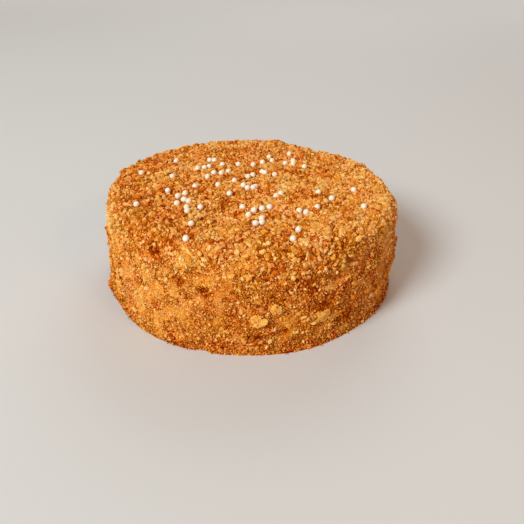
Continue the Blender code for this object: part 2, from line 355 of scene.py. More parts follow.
@dataclass(frozen=True)
class CakeForm:
    """The cake's form, in millimetres and degrees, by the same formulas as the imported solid.

    A wave is how many times it goes round, its length down the profile and how far it stands out. A swell is
    a round spot, as in round_spots, that stands out or is dented.
    """

    wall_radius: float = 106.5
    height: float = 71.4
    shoulder_pull: float = 3.0
    shoulder_rounding: float = 12.0
    top_fall: float = 4.6
    skirt_flare: float = 1.4
    skirt_height: float = 4.0
    pull_power: int = 4
    core_radius: float = 1.0
    top_steps: int = 60
    turn_steps: int = 24
    wall_steps: int = 119
    waves: Rows = ((3, 130.0, 0.5), (7, 70.0, 0.35))
    waves_start: float = 45.0
    swells: Rows = (
        (-38, 4, 20, 12, 1.7),
        (38, 4, 20, 12, -3.6),
        (-16, 2, 2.5, 6, -2.1),
        (0, 3, 14, 8, -1.4),
        (-60, 6, 10, 14, -1.8),
        (-72, 4, 4, 4, 2),
        (-75, 26, 12, 14, -0.8),
        (-80, 54, 14, 12, -0.6),
        (77, 24, 6, 4.5, 1.5),
        (78, 8, 10, 7, -2.6),
        (92, 66, 12, 8, -1.4),
        (147, 68, 14, 12, -2.7),
        (170, 70, 5, 9, 2.7),
        (-102, 68, 10, 10, 1),
        (-122, 68, 10, 10, -1),
    )

    @cached_property
    def profile(self) -> tuple[Array, Array, Array]:
        """The profile as radii, heights and reaches: a flat top, a quarter turn, and the wall to its skirt.

        The wall's radius is the full one, less a pull that grows with the fourth power of the height, plus
        a flare that fades upwards from the foot.

        Returns:
            Radii, heights and reaches of its points, from near the centre to the foot.
        """
        shoulder_height = self.height - self.shoulder_rounding
        flat_radius = self.wall_radius - self.shoulder_pull - self.shoulder_rounding
        top_radius = np.linspace(self.core_radius, flat_radius, self.top_steps)
        turn = np.linspace(0.0, math.pi / 2, self.turn_steps + 1)[1:]
        wall_height = np.linspace(shoulder_height, 0.0, self.wall_steps + 1)[1:]
        pull = self.shoulder_pull * (wall_height / shoulder_height) ** self.pull_power
        flare = self.skirt_flare * np.exp(-wall_height / self.skirt_height)
        radius = np.concatenate([
            top_radius,
            flat_radius + self.shoulder_rounding * np.sin(turn),
            self.wall_radius - pull + flare,
        ])
        height = np.concatenate([
            np.full(len(top_radius), self.height),
            shoulder_height + self.shoulder_rounding * np.cos(turn),
            wall_height,
        ])
        step = np.hypot(np.diff(radius), np.diff(height))
        return radius, height, self.core_radius + np.concatenate([[0.0], np.cumsum(step)])

    @cached_property
    def area(self) -> Array:
        """The running integral of the radius over the reach.

        Returns:
            The skin's area over 2π, down to each point of the profile.
        """
        radius, _, reach = self.profile
        middle = (radius[1:] + radius[:-1]) / 2
        return np.concatenate([[0.0], np.cumsum(middle * np.diff(reach))])

    @property
    def foot(self) -> float:
        """The reach at which the wall meets the base."""
        return float(self.profile[2][-1])

    def reach_at_height(self, height: Array | float) -> Array:
        """How far down the profile the wall or shoulder is this high."""
        _, heights, reach = self.profile
        return np.interp(-np.asarray(height, float), -heights, reach)

    def radius_at(self, reach: Array) -> Array:
        """The profile's radius at each reach."""
        return np.interp(reach, self.profile[2], self.profile[0])

    def round_spots(self, spots: Rows, azimuth: Array, reach: Array) -> Array:
        """Adds up round spots on the skin, each of its own strength times exp(-(a/wide)² - (d/tall)²).

        Args:
            spots: For each, its azimuth, height, width in degrees, tallness in millimetres and strength.
            azimuth: Degrees from the front.
            reach: Millimetres down the profile.

        Returns:
            The sum at each place.
        """
        total = np.zeros(np.shape(azimuth))
        for at, up, wide, tall, strength in spots:
            aside = (azimuth - at + 180.0) % 360.0 - 180.0
            down = reach - self.reach_at_height(up)
            total += strength * np.exp(-((aside / wide) ** 2) - (down / tall) ** 2)
        return total

    def swell(self, azimuth: Array, reach: Array) -> Array:
        """How far the coat stands out: slow waves that grow from the centre, and round bumps and dents.

        Args:
            azimuth: Degrees from the front.
            reach: Millimetres down the profile.

        Returns:
            Millimetres along the normal.
        """
        total = np.zeros(np.shape(azimuth))
        for times, length, out in self.waves:
            turn = np.radians(times * azimuth) + times
            total += out * np.sin(turn) * np.cos(2 * math.pi * reach / length)
        total *= np.clip(reach / self.waves_start, 0.0, 1.0)
        return total + self.round_spots(self.swells, azimuth, reach)

    def skin(self, azimuth: Array, reach: Array, lift: Array | float = 0.0) -> tuple[Array, Array]:
        """The profile turned about the axis, moved out by the swell and the lift, and tilted to the back.

        Args:
            azimuth: Degrees from the front.
            reach: Millimetres down the profile.
            lift: Further millimetres along the normal.

        Returns:
            Points in millimetres and unit outward normals.
        """
        radii, heights, reaches = self.profile
        turn = np.radians(azimuth)
        side, forward = np.sin(turn), -np.cos(turn)
        out_up = np.interp(reach, reaches, np.gradient(radii, reaches))
        out_side = -np.interp(reach, reaches, np.gradient(heights, reaches))
        out = self.swell(azimuth, reach) + lift
        radius = np.interp(reach, reaches, radii) + out * out_side
        radius = np.where(reach < self.core_radius, radius * reach / self.core_radius, radius)
        height = np.interp(reach, reaches, heights)
        height = height + out * out_up * np.clip(height / self.skirt_height, 0.0, 1.0)
        height = height * (1.0 - self.top_fall / self.height * radius * forward / (2 * self.wall_radius))
        points = np.stack([radius * side, radius * forward, height], axis=-1)
        return points, unit(np.stack([out_side * side, out_side * forward, out_up], axis=-1))

    def spiral(self, count: int, foot_margin: float) -> tuple[Array, Array]:
        """Places spread evenly by area, each a golden angle on from the one before.

        Args:
            count: How many places.
            foot_margin: How far above the foot the last one lies.

        Returns:
            Azimuths and reaches.
        """
        reaches = self.profile[2]
        most = np.interp(self.foot - foot_margin, reaches, self.area)
        order = np.arange(count)
        return order * GOLDEN_ANGLE % 360.0, np.interp((order + 0.5) / count * most, self.area, reaches)


@dataclass(frozen=True)
class Toppings:
    """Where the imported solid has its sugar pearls, flakes and larger crumbs, by its own formulas.

    A trail of pearls is the x and y of its start, the x and y of its end, and how many pearls it has. A flake
    is its azimuth, its height and its length.
    """

    form: CakeForm
    pearl_radius: float = 2.1
    pearl_sunk: float = 1.1
    pearl_wander: float = 0.3
    pearl_trails: Rows = (
        (-60, 39.5, -29, 15, 2),
        (-34, 42.5, -30, 43, 2),
        (7.5, 40, 15.5, 44, 2),
        (13, 51.5, 30, 58.5, 2),
        (25.5, 38, 32, 44, 2),
        (-42, 23, -15.5, -23, 4),
        (-37, 25, 0.5, 12.5, 3),
        (-33.5, 28, -3, -12, 4),
        (-23.5, 34, 0.5, 34, 3),
        (7.5, 19.5, 9.5, 18, 2),
        (17, 14.5, 46.5, -16.5, 2),
        (32, 37.5, 40.5, 32, 2),
        (-82, 10.5, -58.5, 5, 2),
        (-6.5, -7.5, -3, 9, 2),
        (0.5, -11, 2, -9.5, 2),
        (73, -9.5, 75, -39.5, 2),
        (-58.5, -20.5, -34, -45, 4),
        (-46, -24, -40.5, -12, 2),
        (-45.5, -34.5, -37.5, -69, 3),
        (20, -20.5, 16.5, -25.5, 2),
        (55, -27.5, 43.5, -42.5, 2),
        (-76, -44, -38.5, -87.5, 2),
        (-49.5, -40.5, -43, -46, 2),
        (-6, -44, 2.5, -68, 3),
        (6.5, -61, 6.5, -66.5, 2),
        (12, -43, 1.5, -48.5, 3),
        (31, -48.5, 35.5, -50.5, 2),
        (28.5, -75.5, 25, -87, 2),
    )
    flakes: Rows = (
        (26, 24, 11),
        (2.5, 27, 10),
        (8.5, 34.5, 7),
        (-36, 63, 9),
        (-21, 60, 12),
        (36, 65, 10),
    )
    flake_flatness: float = 0.42
    crumb_count: int = 110
    crumb_lengths: Pair = (5.0, 8.5)
    crumb_widths: Pair = (0.65, 0.9)
    crumb_flatness: float = 0.62
    crumb_sunk: float = 0.4
    crumb_wander: float = 6.0
    crumb_clearance: float = 5.5
    crumb_foot_clearance: float = 5.0
    crumb_lean: float = 0.35
    foot_margin: float = 3.5
    bare_flakes: int = 3
    bare_every: int = 9
    pearl_seed: int = 11
    crumb_seed: int = 23

    @cached_property
    def pearls(self) -> Array:
        """Places the pearls in even steps along each trail, with a small wander, sunk in the coat.

        Returns:
            Their centres.
        """
        random = np.random.default_rng(self.pearl_seed)
        across = []
        for start_x, start_y, end_x, end_y, count in self.pearl_trails:
            step = np.linspace(0.0, 1.0, int(count))[:, None]
            trail = np.array([start_x, start_y]) + step * np.array([end_x - start_x, end_y - start_y])
            across.append(trail + random.uniform(-self.pearl_wander, self.pearl_wander, trail.shape))
        x, y = np.concatenate(across).T
        points, normals = self.form.skin(np.degrees(np.arctan2(x, -y)), np.hypot(x, y))
        return points + normals * (self.pearl_radius - self.pearl_sunk)

    @cached_property
    def crumbs(self) -> tuple[Array, Array]:
        """The flakes, then the larger crumbs: an even spiral with a wander, clear of pearls and flakes.

        Returns:
            The centre of each, and the three directions that stretch a unit ball into it.
        """
        random = np.random.default_rng(self.crumb_seed)
        count, wander = self.crumb_count, self.crumb_wander
        azimuth, reach = self.form.spiral(count, self.foot_margin)
        turn = random.uniform(-wander, wander, count) / self.form.radius_at(reach)
        azimuth = azimuth + np.degrees(turn)
        reach = reach + random.uniform(-wander, wander, count)
        reach = np.clip(reach, wander, self.form.foot - self.crumb_foot_clearance)
        length = random.uniform(*self.crumb_lengths, count)
        points, _ = self.form.skin(azimuth, reach)
        flakes = np.array(self.flakes)
        flake_reach = self.form.reach_at_height(flakes[:, 1])
        flake_points, _ = self.form.skin(flakes[:, 0], flake_reach)
        clear = (distances(points, self.pearls) > self.crumb_clearance).all(axis=1)
        flake_clearance = self.crumb_clearance + flakes[:, 2] / 2
        clear &= (distances(points, flake_points) > flake_clearance).all(axis=1)
        azimuth = np.concatenate([flakes[:, 0], azimuth[clear]])
        reach = np.concatenate([flake_reach, reach[clear]])
        length = np.concatenate([flakes[:, 2], length[clear]])
        flatness = np.full(len(length), self.crumb_flatness)
        flatness[:len(flakes)] = self.flake_flatness
        return self.stretched(azimuth, reach, length, flatness)

    def stretched(self, azimuth: Array, reach: Array, length: Array,
                  flatness: Array) -> tuple[Array, Array]:
        """Lays each larger crumb in the skin with a lean: along, across and up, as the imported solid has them.

        Args:
            azimuth: Degrees from the front.
            reach: Millimetres down the profile.
            length: Each crumb's length.
            flatness: Each crumb's thickness over its length.

        Returns:
            The centre of each, and the three directions that stretch a unit ball into it.
        """
        random = np.random.default_rng(self.crumb_seed)
        points, normals = self.form.skin(azimuth, reach)
        frames = leant_frames(random, normals, self.crumb_lean)
        widths = random.uniform(*self.crumb_widths, len(normals))
        shape = np.stack([np.ones(len(normals)), widths, flatness], axis=-1)
        stretch = frames * shape[..., None]
        return points - normals * self.crumb_sunk, stretch * length[:, None, None] / 2

    @cached_property
    def bare(self) -> Array:
        """Which larger crumbs show bare: the first flakes, and one in so many of the larger crumbs."""
        order = np.arange(len(self.crumbs[0])) - len(self.flakes)
        return (order < self.bare_flakes - len(self.flakes)) | ((order > 0) & (order % self.bare_every == 0))

    def over(self, points: Array, chosen: Array) -> Array:
        """How high the chosen larger crumbs stand over the plain skin at each place.

        With a and b the place along and across a crumb, in its own half lengths, its height is its half
        thickness times the root of 1 - a² - b², less how far it is sunk. A place takes the highest crumb.

        Args:
            points: Places on the plain skin.
            chosen: Which crumbs count.

        Returns:
            Millimetres over the skin, and well below it where no crumb is.
        """
        highest = np.full(len(points), FAR_BELOW)
        longest = max(length for _, _, length in self.flakes)
        for centre, stretch in zip(self.crumbs[0][chosen], self.crumbs[1][chosen]):
            near = np.nonzero(np.abs(points - centre).max(axis=1) < longest)[0]
            inverse = stretch[:2] / (stretch[:2] ** 2).sum(axis=1, keepdims=True)
            across = (points[near] - centre) @ inverse.T
            inside = 1.0 - (across ** 2).sum(axis=1)
            height = np.linalg.norm(stretch[2]) * np.sqrt(np.maximum(inside, 0.0)) - self.crumb_sunk
            highest[near] = np.maximum(highest[near], np.where(inside > 0.0, height, FAR_BELOW))
        return highest


@dataclass(frozen=True)
class CoatRelief:
    """How far the crumb coat stands out of the plain skin: the solid's crags, and packed lumps of crumb."""

    form: CakeForm
    toppings: Toppings
    skin_points: int = 2100
    foot_points: int = 96
    foot_margin: float = 3.5
    crag: float = 1.4
    calm_crag: float = 0.25
    calm_reach: float = 12.0
    crag_blend: float = 3.4
    lumps: Layers = ((4.2, 0.9, 41), (2.1, 0.7, 57))
    lump_middle: float = 0.55
    grit_on_crumbs: float = 0.4
    foot_fade: float = 3.0
    pearl_dent: float = 1.2
    batch: int = 4000
    least_weight: float = 1e-9
    seed: int = 3

    @cached_property
    def crags(self) -> tuple[Array, Array]:
        """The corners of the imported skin, and how far each one was moved out: less beside a topping.

        Returns:
            Points of the plain skin in millimetres, and the lift at each.
        """
        random = np.random.default_rng(self.seed)
        azimuth, reach = self.form.spiral(self.skin_points, self.foot_margin)
        azimuth = np.concatenate([azimuth, np.arange(self.foot_points) * 360.0 / self.foot_points])
        reach = np.concatenate([reach, np.full(self.foot_points, self.form.foot)])
        smooth, _ = self.form.skin(azimuth, reach)
        centres = np.concatenate([self.toppings.pearls, self.toppings.crumbs[0]])
        calm = np.clip(distances(smooth, centres).min(axis=1) / self.calm_reach, self.calm_crag, 1.0)
        return smooth, calm * random.uniform(-self.crag, self.crag, len(azimuth))

    def crag_lift(self, points: Array) -> Array:
        """The solid's crags at any points: its corners' lifts, weighted by exp(-(d/blend)²) of the distance.

        Args:
            points: Places on the plain skin.

        Returns:
            Millimetres along the normal.
        """
        corners, lifts = (part.astype(np.float32) for part in self.crags)
        lift = np.empty(len(points))
        for start in range(0, len(points), self.batch):
            part = points[start:start + self.batch].astype(np.float32)
            squares = ((part ** 2).sum(axis=1)[:, None] + (corners ** 2).sum(axis=1)[None]
                       - 2.0 * part @ corners.T)
            weight = np.exp(-squares / self.crag_blend ** 2)
            lift[start:start + self.batch] = weight @ lifts / (weight.sum(axis=1) + self.least_weight)
        return lift

    def lift(self, points: Array, reach: Array) -> Array:
        """The whole relief at places on the plain skin, fading out at the foot.

        It has lumps of two sizes, the smaller of which are grit and lie on the larger crumbs too. Under each
        pearl lies a dent of exp(-(d/r)⁴/4), where r is the pearl's radius.

        Args:
            points: Places on the plain skin.
            reach: Their reaches.

        Returns:
            Millimetres along the normal.
        """
        lumps, grit = (height * (pebbles(points, cell, seed) - self.lump_middle)
                       for cell, height, seed in self.lumps)
        fade = np.clip((self.form.foot - reach) / self.foot_fade, 0.0, 1.0)
        gaps = distances(points[:, :2], self.toppings.pearls[:, :2]).min(axis=1)
        dent = self.pearl_dent * np.exp(-((gaps / self.toppings.pearl_radius) ** 4) / 4.0)
        plain = (self.crag_lift(points) + lumps + grit - dent) * fade
        return np.maximum(plain, self.toppings.over(points, ~self.toppings.bare) + self.grit_on_crumbs * grit)


@dataclass(frozen=True)
class BakeField:
    """How darkly the crumbs are baked at each place, in steps of the crumbs' own scatter about the mean.

    The spots and the smeared spots are round spots, as in CakeForm.round_spots.
    """

    form: CakeForm
    patches: Layers = ((24.0, 0.16, 71), (10.0, 0.22, 72), (4.5, 0.36, 73))
    patch_scale: float = 1.8
    patch_calm: float = 0.65
    calm_band: Pair = (45.0, 69.0)
    zone_cell: float = 8.0
    zone_seed: int = 77
    smears: Layers = ((6.5, 1.4, 75), (3.0, 0.4, 76))
    smear_edge: Pair = (0.4, 0.8)
    spot_hold: float = 0.6
    smear_spots: Rows = (
        (-22, 59.5, 5, 5, 1),
        (-8, 38, 4, 6, 1),
        (-46, 38, 8, 14, 0.5),
        (-20, 24, 8, 9, 0.7),
    )
    foot_dark: float = 0.5
    foot_height: float = 5.0
    spots: Rows = (
        (-34.8, 61.5, 2.6, 3.5, 1.8),
        (-33, 68, 2.5, 2.5, 1),
        (-34, 71.3, 5, 2.5, -0.6),
        # This pale spot on the left shoulder's edge, which faces the key light, is a painted highlight.
        (-66, 60, 9, 11, -2),
        (61, 50, 6, 16, -1),
        (19, 67, 4, 4, 1.2),
        (-19.5, 44.5, 2.2, 3, -1.3),
        (-18, 29, 2.5, 3.5, -0.7),
        (-25, 4, 4, 4, 1),
        (-24, 48, 2, 2.4, 2.6),
        (-15.5, 45, 2, 2.2, 2.3),
        (-36, 30, 18, 24, -0.8),
        (-39, 34, 3.5, 9, 0.8),
        (29.5, 20.5, 2, 3, -1.3),
        (-14, 71.3, 3, 3, 0.9),
        (8.2, 39, 2.5, 3, 0.8),
        (13.5, 18, 3, 3, 0.7),
        # These two broad spots make the top and shoulder darker on the left and paler on the right.
        (70, 71, 28, 18, -0.4),
        (-75, 71, 26, 34, 0.4),
        (1.6, 15, 2.6, 2.2, 2.6),
        (-10.5, 6, 4, 2.5, 0.7),
        (21.5, 44, 3, 3, 1.6),
        (26, 32, 3, 3, 1.6),
        (36, 15, 4, 4, 1.5),
        (32, 68, 4, 3, 1.6),
        (18, 51, 2.5, 2.5, 1.5),
        (-22, 59.5, 4, 4, -1.1),
        (33, 61, 4, 5, 1.2),
        (29, 43.7, 2.5, 2.5, -1.2),
    )

    def level(self, azimuth: Array, reach: Array, points: Array) -> Array:
        """The level without the crumbs' own scatter: patches of three sizes, the foot, and single spots.

        The patches are fainter on the wall, below the band, than on the top.

        Args:
            azimuth: Degrees from the front.
            reach: Millimetres down the profile.
            points: The places in millimetres.

        Returns:
            A level for each place. Higher is darker.
        """
        level = layered_noise(points, self.patches)
        level = level * np.interp(points[:, 2], self.calm_band, (self.patch_calm, 1.0)) * self.patch_scale
        # The level rises towards the foot, so the crumbs there are darker.
        level = level + self.foot_dark * np.exp(-points[:, 2] / self.foot_height)
        return level + self.form.round_spots(self.spots, azimuth, reach)

    def smear(self, azimuth: Array, reach: Array, points: Array) -> Array:
        """How far the crumbs are pressed into the cream: 0 where they lie loose and 1 where they are smeared.

        Dark spots lie loose, and pale ones are smeared.

        Args:
            azimuth: Degrees from the front.
            reach: Millimetres down the profile.
            points: The places in millimetres.

        Returns:
            A share for each place.
        """
        low, high = self.smear_edge
        noise = layered_noise(points, self.smears)
        noise += self.form.round_spots(self.smear_spots, azimuth, reach)
        noise -= self.spot_hold * self.form.round_spots(self.spots, azimuth, reach)
        return np.clip((noise - low) / (high - low), 0.0, 1.0)


class Bake(Enum):
    """How a kind of crumb is baked, from the palest kind to the darkest."""

    PALE = ("pale", "dry")
    GOLDEN = ("golden", "baked")
    AMBER = ("amber", "well-baked")
    TOASTED = ("toasted", "toasted")
    DARK = ("dark", "caramelised")

    def __init__(self, shade: str, making: str) -> None:
        """Keeps the word for the piece's name, and the word for how the crumb was made."""
        self.shade = shade
        self.making = making


Kinds = tuple[tuple[Bake, float, tuple[str, str, str]], ...]


@dataclass(frozen=True)
class Finish:
    """What every finish has: the real material's name, and how rough and how shiny its surface is."""

    name: str
    roughness: float
    specular: float = 0.5

    def material(self) -> bpy.types.Material:
        """Builds the material from a Principled shader, which the finish then dresses.

        Returns:
            The new material.
        """
        material = bpy.data.materials.new(self.name)
        material.use_nodes = True
        tree = material.node_tree
        inputs = tree.nodes["Principled BSDF"].inputs
        inputs["Roughness"].default_value = self.roughness
        inputs["Specular IOR Level"].default_value = self.specular
        feed(tree, inputs, self.dress(tree, add_node(tree, "TexCoord").outputs["Object"]))
        return material

    def dress(self, tree: Tree, place: Socket) -> dict[str, Any]:
        """Adds the finish's own nodes.

        Args:
            tree: The material's node tree.
            place: The output that gives each point's place on the object, in metres.

        Returns:
            For each input of the shader that the finish sets, its value or the output that feeds it.
        """
        raise NotImplementedError


@dataclass(frozen=True, kw_only=True)
class CrumbFinish(Finish):
    """Crushed honey biscuit, baked and dry: dull, warm facets that hardly shine.

    A crumb's colour is read from its own small patch of the palette map. Across the map the crumb goes from
    the paler to the darker end of its kind, and up the map it turns from redder to yellower, while its
    brightness goes up and down in waves. The faint mottling is 0.8 mm across, so that a larger crumb isn't
    all of one colour.
    """

    colours: tuple[str, str, str]
    mottle: Pair
    roughness: float = 0.75
    specular: float = 0.02
    hue_spread: float = 0.008
    value_spread: float = 0.1
    value_waves: float = 37.0
    mottle_mm: float = 0.8

    def dress(self, tree: Tree, place: Socket) -> dict[str, Any]:
        """Adds the colour from the palette map, with its mottling.

        Args:
            tree: The material's node tree.
            place: The output that gives each point's place, in metres.

        Returns:
            What feeds the shader's inputs.
        """
        palette = add_node(tree, "UVMap", uv_map=PALETTE_MAP)
        axes = add_node(tree, "SeparateXYZ", {"Vector": palette.outputs["UV"]})
        stops = tuple(zip((0.0, 0.5, 1.0), self.colours))
        tone = add_node(tree, "ValToRGB", {"Fac": axes.outputs["X"]}, stops)
        hue = add_node(tree, "MapRange", {"Value": axes.outputs["Y"], "To Min": 0.5 - self.hue_spread,
                                          "To Max": 0.5 + self.hue_spread})
        wave = add_node(tree, "Math", {0: axes.outputs["Y"], 1: self.value_waves}, operation="MULTIPLY")
        wave = add_node(tree, "Math", {0: wave.outputs[0]}, operation="SINE")
        value = add_node(tree, "MapRange", {"Value": wave.outputs[0], "From Min": -1.0,
                                            "To Min": 1.0 - self.value_spread,
                                            "To Max": 1.0 + self.value_spread})
        mottle = add_node(tree, "TexNoise", {"Vector": place, "Scale": per_metre(self.mottle_mm),
                                             "Detail": 1.0})
        mottle = add_node(tree, "MapRange", {"Value": mottle.outputs["Fac"], **NOISE_RANGE,
                                             "To Min": self.mottle[0], "To Max": self.mottle[1]})
        value = add_node(tree, "Math", {0: value.outputs[0], 1: mottle.outputs[0]}, operation="MULTIPLY")
        turned = add_node(tree, "HueSaturation", {"Hue": hue.outputs[0], "Value": value.outputs[0],
                                                  "Color": tone.outputs["Color"]})
        return {"Base Color": turned.outputs["Color"]}


@dataclass(frozen=True)
class CoatFinish(Finish):
    """Fine biscuit dust bound by cream, under the loose crumbs: golden where pressed, and dark red-brown as
    painted shade in the gaps.

    Each mottling is a size in millimetres, a detail and a spread: 2.2 mm, the size of the crumbs that make
    the coat up, and 0.7 mm, its specks of dust, which also give it its grain.
    """

    name: str = "cream-bound biscuit dust"
    roughness: float = 0.8
    specular: float = 0.02
    # The darker stops paint the shade in the gaps between the loose crumbs.
    stops: Stops = (
        (0.0, "f0ab4c"), (0.3, "dc8626"), (0.62, "a54000"), (1.0, "6a1c00"),
    )
    mottles: Rows = ((2.2, 3.0, 0.25), (0.7, 1.0, 0.4))
    grain: float = 0.8
    grain_mm: float = 0.5

    def dress(self, tree: Tree, place: Socket) -> dict[str, Any]:
        """Adds the colour of the bake level, mottled, and the grain.

        Args:
            tree: The material's node tree.
            place: The output that gives each point's place, in metres.

        Returns:
            What feeds the shader's inputs.
        """
        level = add_node(tree, "Attribute", attribute_name=LEVEL_ATTRIBUTE).outputs["Fac"]
        for size, detail, spread in self.mottles:
            noise = add_node(tree, "TexNoise", {"Vector": place, "Scale": per_metre(size), "Detail": detail})
            part = add_node(tree, "MapRange", {"Value": noise.outputs["Fac"], **NOISE_RANGE,
                                               "To Min": -spread, "To Max": spread})
            level = add_node(tree, "Math", {0: level, 1: part.outputs[0]}, operation="ADD").outputs[0]
        colour = add_node(tree, "ValToRGB", {"Fac": level}, self.stops)
        grain = add_node(tree, "Bump", {"Height": noise.outputs["Fac"], "Strength": self.grain,
                                        "Distance": self.grain_mm * MM})
        return {"Base Color": colour.outputs["Color"], "Normal": grain.outputs["Normal"]}


@dataclass(frozen=True)
class BiscuitFinish(Finish):
    """Broken honey biscuit, baked: a pale, open crumb on the broken faces with browned patches on the crust.

    The browning is 4 mm across and the open crumb's pores are 0.9 mm, as in the broken edge of a biscuit.
    """

    name: str = "broken honey biscuit"
    roughness: float = 0.75
    specular: float = 0.06
    stops: Stops = ((0.35, "f9cb6e"), (0.65, "e79c3a"))
    browning_mm: float = 4.0
    pore_mm: float = 0.9
    pore_share: float = 0.4
    grain: float = 0.7
    grain_mm: float = 0.4

    def dress(self, tree: Tree, place: Socket) -> dict[str, Any]:
        """Adds the browning, and the pores as colour and as grain.

        Args:
            tree: The material's node tree.
            place: The output that gives each point's place, in metres.

        Returns:
            What feeds the shader's inputs.
        """
        browning, pores = (
            add_node(tree, "TexNoise", {"Vector": place, "Scale": per_metre(size), "Detail": 2.0})
            for size in (self.browning_mm, self.pore_mm)
        )
        both = add_node(tree, "Mix", {0: self.pore_share, 2: browning.outputs["Fac"],
                                      3: pores.outputs["Fac"]})
        colour = add_node(tree, "ValToRGB", {"Fac": both.outputs[0]}, self.stops)
        grain = add_node(tree, "Bump", {"Height": pores.outputs["Fac"], "Strength": self.grain,
                                        "Distance": self.grain_mm * MM})
        return {"Base Color": colour.outputs["Color"], "Normal": grain.outputs["Normal"]}


@dataclass(frozen=True)
class SugarFinish(Finish):
    """Sugar shell, panned and polished in a drum: smooth cream-white with a soft gloss and faint clouding.

    The clouding is 3 mm across, so that one pearl holds one or two soft changes.
    """

    name: str = "panned sugar shell"
    roughness: float = 0.38
    stops: Stops = ((0.35, "fff8ec"), (0.7, "f9e8ca"))
    clouding_mm: float = 3.0
    gloss_spread: Pair = (-0.06, 0.1)

    def dress(self, tree: Tree, place: Socket) -> dict[str, Any]:
        """Adds the clouding, in colour and in gloss.

        Args:
            tree: The material's node tree.
            place: The output that gives each point's place, in metres.

        Returns:
            What feeds the shader's inputs.
        """
        clouds = add_node(tree, "TexNoise", {"Vector": place, "Scale": per_metre(self.clouding_mm),
                                             "Detail": 1.0})
        colour = add_node(tree, "ValToRGB", {"Fac": clouds.outputs["Fac"]}, self.stops)
        low, high = self.gloss_spread
        gloss = add_node(tree, "MapRange", {"Value": clouds.outputs["Fac"], "To Min": self.roughness + low,
                                            "To Max": self.roughness + high})
        return {"Base Color": colour.outputs["Color"], "Roughness": gloss.outputs[0]}


@dataclass(frozen=True)
class FloorFinish(Finish):
    """Matt floor paint: a plain pale grey that keeps the eye on the cake, and fades into the backdrop.

    The fade runs between two distances from the cake, in metres, so that no edge of the floor shows.
    """

    name: str = "matt floor paint"
    roughness: float = 0.85
    colour: str = "d9dbde"
    fade: Pair = (1.0, 1.9)

    def dress(self, tree: Tree, place: Socket) -> dict[str, Any]:
        """Adds the plain colour and the fade.

        Args:
            tree: The material's node tree.
            place: The output that gives each point's place, in metres.

        Returns:
            What feeds the shader's inputs.
        """
        distance = add_node(tree, "VectorMath", {0: place}, operation="LENGTH")
        cover = add_node(tree, "MapRange", {"Value": distance.outputs["Value"], "From Min": self.fade[0],
                                            "From Max": self.fade[1], "To Min": 1.0, "To Max": 0.0},
                         interpolation_type="SMOOTHSTEP")
        return {"Base Color": linear(self.colour), "Alpha": cover.outputs[0]}


